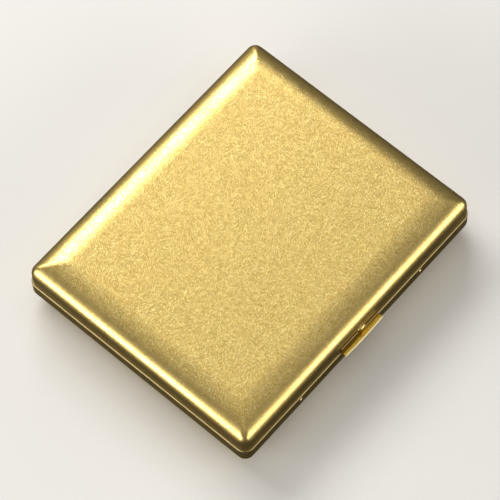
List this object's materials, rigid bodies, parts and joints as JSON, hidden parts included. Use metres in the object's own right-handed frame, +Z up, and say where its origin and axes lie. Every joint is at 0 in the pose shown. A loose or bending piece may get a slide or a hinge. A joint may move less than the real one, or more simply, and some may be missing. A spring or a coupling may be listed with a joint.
{
  "type": "needle case",
  "caption": "Slim rectangular brass clamshell case with rolled edges, a long side hinge and a snap catch with thumb lift, lined with felt and holding felt needle leaves.",
  "frame": {"origin": "centre of the flat face that the case rests on", "axes": "+X along the hinge and the long side, +Y towards the hinge side, -Y towards the thumb lift, +Z up out of the lid"},
  "size_m": [0.096, 0.0837, 0.019],
  "materials": {
    "case_brass": "tumbled satin with fine random scratches",
    "bright_brass": "bright, lightly polished",
    "hinge_brass": "satin",
    "inner_brass": "plain rolled sheet",
    "spring_brass": "hard rolled strip",
    "pin_steel": "drawn wire",
    "pad_felt": "wool felt",
    "leaf_felt": "thin wool felt",
    "binding_tape": "woven cotton tape",
    "band_elastic": "braided elastic",
    "lining_card": "grey-brown pasteboard"
  },
  "bodies": {
    "base": {"base_shell": "case_brass", "base_hinge_leaf": "hinge_brass", "hinge_pin": "pin_steel", "rim_strip_left": "inner_brass", "rim_strip_right": "inner_brass", "rim_strip_front_left": "inner_brass", "rim_strip_front_right": "inner_brass", "catch_spring": "spring_brass", "catch_rivets": "bright_brass", "base_board": "lining_card", "needle_pad": "pad_felt", "leaf_rest_bar": "inner_brass", "leaf_tape": "binding_tape", "leaf_clamp_bar": "inner_brass", "leaf_rivets": "inner_brass"},
    "lid": {"lid_shell": "case_brass", "lid_hinge_leaf": "hinge_brass", "thumb_lift": "bright_brass", "lid_board": "lining_card", "lid_felt": "pad_felt", "elastic_band": "band_elastic", "band_end_plates": "inner_brass", "band_rivets": "inner_brass"},
    "lower_leaf": {"needle_leaf_lower": "leaf_felt"},
    "upper_leaf": {"needle_leaf_upper": "leaf_felt"}
  },
  "joints": [
    {"name": "lid_hinge", "type": "hinge", "parent": "base", "child": "lid", "pos_m": [0, 0.0406, 0.0095], "axis": [-1, 0, 0], "range_deg": [0, 180], "deforming": ["catch_spring"]},
    {"name": "lower_leaf_fold", "type": "hinge", "parent": "base", "child": "lower_leaf", "pos_m": [0, 0.03202, 0.0049], "axis": [-1, 0, 0], "range_deg": [0, 60]},
    {"name": "upper_leaf_fold", "type": "hinge", "parent": "base", "child": "upper_leaf", "pos_m": [0, 0.03277, 0.0059], "axis": [-1, 0, 0], "range_deg": [0, 90]}
  ],
  "couplings": [
    {"joint": "lower_leaf_fold", "follows": "lid_hinge", "ratio": 0.3333},
    {"joint": "upper_leaf_fold", "follows": "lid_hinge", "ratio": 0.5}
  ]
}
